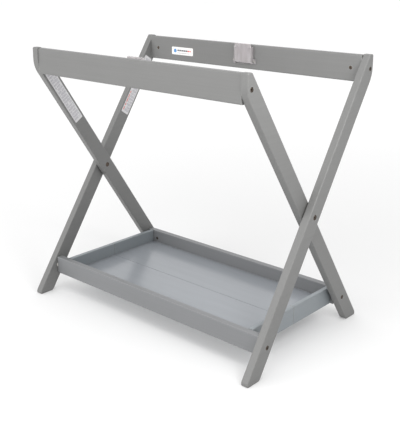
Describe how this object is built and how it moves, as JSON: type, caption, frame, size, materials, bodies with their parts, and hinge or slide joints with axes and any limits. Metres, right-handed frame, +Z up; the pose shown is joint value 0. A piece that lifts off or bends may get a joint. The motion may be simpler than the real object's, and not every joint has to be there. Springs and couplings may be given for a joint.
{
  "type": "bassinet stand",
  "caption": "Folding wooden X-frame stand for a pram bassinet, with two top rails, clear spring catches and a fold-up storage tray.",
  "frame": {"origin": "on the floor under the middle of the open stand", "axes": "+X along the rails to the right end, +Y to the rear, +Z up"},
  "size_m": [0.803, 0.5076, 0.731],
  "materials": {
    "frame_paint": "satin grey paint on beech",
    "tray_paint": "satin grey paint on beech",
    "floor_paint": "satin grey paint on plywood",
    "dowel_wood": "bare beech",
    "bronzed_steel": "bronzed furniture bolt steel",
    "zinc_steel": "zinc plated steel",
    "clear_plastic": "clear moulded polycarbonate",
    "washer_nylon": "natural nylon",
    "label": "matt printed film"
  },
  "bodies": {
    "front_tray": {"front_board": "tray_paint", "front_board_barrel_nuts": "bronzed_steel", "front_board_bolt_ends": "bronzed_steel", "front_board_washers": "washer_nylon", "front_end_wall_left": "tray_paint", "front_end_wall_right": "tray_paint", "front_floor": "floor_paint", "front_floor_screws": "zinc_steel", "front_hinge_leaves": "zinc_steel", "front_hinge_screws": "zinc_steel"},
    "outer_frame": {"front_board_bolts": "bronzed_steel", "outer_leg_label": "label", "outer_leg_left": "frame_paint", "outer_leg_right": "frame_paint", "pivot_bolts": "bronzed_steel", "pivot_washers": "washer_nylon", "rail_label": "label", "rear_catch_base": "clear_plastic", "rear_catch_pin": "zinc_steel", "rear_catch_screws": "zinc_steel", "rear_rail": "frame_paint", "rear_rail_barrel_nuts": "bronzed_steel", "rear_rail_bolts": "bronzed_steel", "rear_rail_dowels": "dowel_wood"},
    "inner_frame": {"front_catch_base": "clear_plastic", "front_catch_pin": "zinc_steel", "front_catch_screws": "zinc_steel", "front_rail": "frame_paint", "front_rail_barrel_nuts": "bronzed_steel", "front_rail_bolts": "bronzed_steel", "front_rail_dowels": "dowel_wood", "inner_leg_label": "label", "inner_leg_left": "frame_paint", "inner_leg_right": "frame_paint", "pivot_sleeve_nuts": "bronzed_steel"},
    "front_catch": {"front_catch_plate": "clear_plastic"},
    "rear_tray": {"hinge_pins": "zinc_steel", "rear_board": "tray_paint", "rear_board_barrel_nuts": "bronzed_steel", "rear_board_bolts": "bronzed_steel", "rear_board_washers": "washer_nylon", "rear_end_wall_left": "tray_paint", "rear_end_wall_right": "tray_paint", "rear_floor": "floor_paint", "rear_floor_screws": "zinc_steel", "rear_hinge_leaves": "zinc_steel", "rear_hinge_screws": "zinc_steel"},
    "rear_catch": {"rear_catch_plate": "clear_plastic"}
  },
  "joints": [
    {"name": "leg_fold", "type": "hinge", "parent": "inner_frame", "child": "outer_frame", "pos_m": [0, 0, 0.353], "axis": [1, 0, 0], "range_deg": [0, 55]},
    {"name": "rear_tray_fold", "type": "hinge", "parent": "inner_frame", "child": "rear_tray", "pos_m": [0, 0.182, 0.07575], "axis": [-1, 0, 0], "range_deg": [0, 60.85]},
    {"name": "front_tray_fold", "type": "hinge", "parent": "rear_tray", "child": "front_tray", "pos_m": [0, 0, 0.0485], "axis": [1, 0, 0], "range_deg": [0, 176.41]},
    {"name": "front_catch_press", "type": "hinge", "parent": "inner_frame", "child": "front_catch", "pos_m": [0, -0.212, 0.68], "axis": [1, 0, 0], "range_deg": [0, 5], "stiffness_Nm_per_rad": 0.5, "springref_deg": -5.73},
    {"name": "rear_catch_press", "type": "hinge", "parent": "outer_frame", "child": "rear_catch", "pos_m": [0, 0.212, 0.68], "axis": [-1, 0, 0], "range_deg": [0, 5], "stiffness_Nm_per_rad": 0.5, "springref_deg": -5.73}
  ],
  "couplings": [
    {"joint": "rear_tray_fold", "follows": "leg_fold", "ratio": 1.101},
    {"joint": "front_tray_fold", "follows": "leg_fold", "ratio": 3.202}
  ]
}
